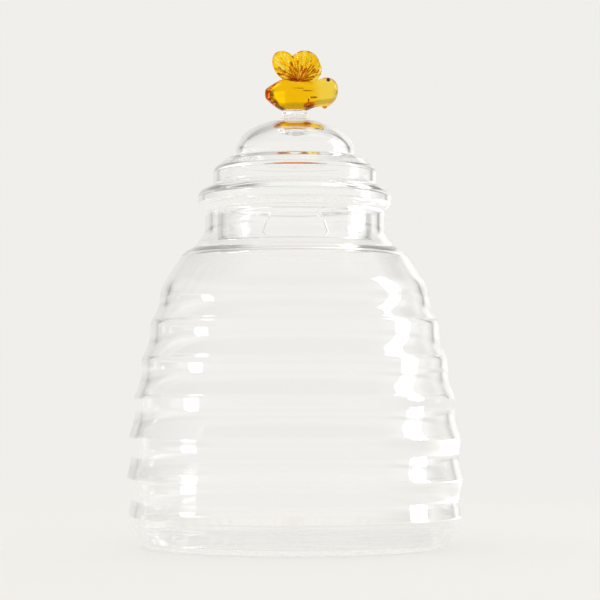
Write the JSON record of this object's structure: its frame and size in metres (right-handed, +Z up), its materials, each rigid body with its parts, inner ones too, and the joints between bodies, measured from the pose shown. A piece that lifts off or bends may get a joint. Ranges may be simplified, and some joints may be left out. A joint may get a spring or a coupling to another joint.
{
  "type": "honey pot with lift-off lid",
  "caption": "Ringed, waisted clear glass honey pot with a lift-off tiered glass lid, a notched collar and an amber glass bee as its knob.",
  "frame": {"origin": "middle of the flat foot, on the surface that the pot stands on", "axes": "+Z up along the axis of the jar and lid, +X the way the bee's head points, -Y towards the viewer of the picture"},
  "size_m": [0.1048, 0.1048, 0.1553],
  "materials": {
    "clear_glass": "blown and fire-polished, smooth and clear",
    "amber_glass": "solid lampworked amber glass, bright and glossy",
    "pale_amber_glass": "thin pressed amber glass with fanned ribs",
    "brown_glass": "small drops of dark amber glass",
    "dark_glass": "nearly black glass dots"
  },
  "bodies": {
    "pot": {"jar_body": "clear_glass"},
    "lid": {"lid_bell": "clear_glass", "lid_collar": "clear_glass", "finial_stem": "clear_glass", "bee_abdomen": "amber_glass", "bee_head": "amber_glass", "near_fore_wing": "pale_amber_glass", "near_hind_wing": "pale_amber_glass", "far_fore_wing": "pale_amber_glass", "far_hind_wing": "pale_amber_glass", "near_eye": "dark_glass", "far_eye": "dark_glass", "throat_drop": "brown_glass", "chin_nub": "brown_glass"}
  },
  "joints": [
    {"name": "lid_lift", "type": "slide", "parent": "pot", "child": "lid", "axis": [0, 0, 1], "range_m": [0, 0.06]}
  ]
}
